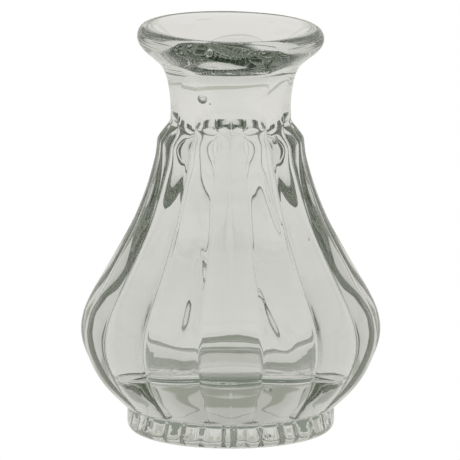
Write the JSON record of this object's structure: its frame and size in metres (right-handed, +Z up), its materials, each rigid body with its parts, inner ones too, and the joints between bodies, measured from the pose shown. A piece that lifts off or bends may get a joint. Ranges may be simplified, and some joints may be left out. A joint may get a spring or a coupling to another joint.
{
  "type": "glass bud vase",
  "caption": "Small pressed-glass bud vase with a melon-lobed, pear-shaped body, hollow ring foot, short neck and wide dished flange around a narrow mouth.",
  "frame": {"origin": "centre of the foot's bearing ring, on the surface the vase stands on", "axes": "+Z up along the vase's axis towards the mouth; one lobe points along -Y, which is the front"},
  "size_m": [0.0768, 0.0765, 0.105],
  "materials": {
    "clear_glass": "clear, polished, faint green-grey tint that deepens where the glass is thick"
  },
  "bodies": {
    "root": {"glass_vase": "clear_glass"}
  },
  "joints": []
}
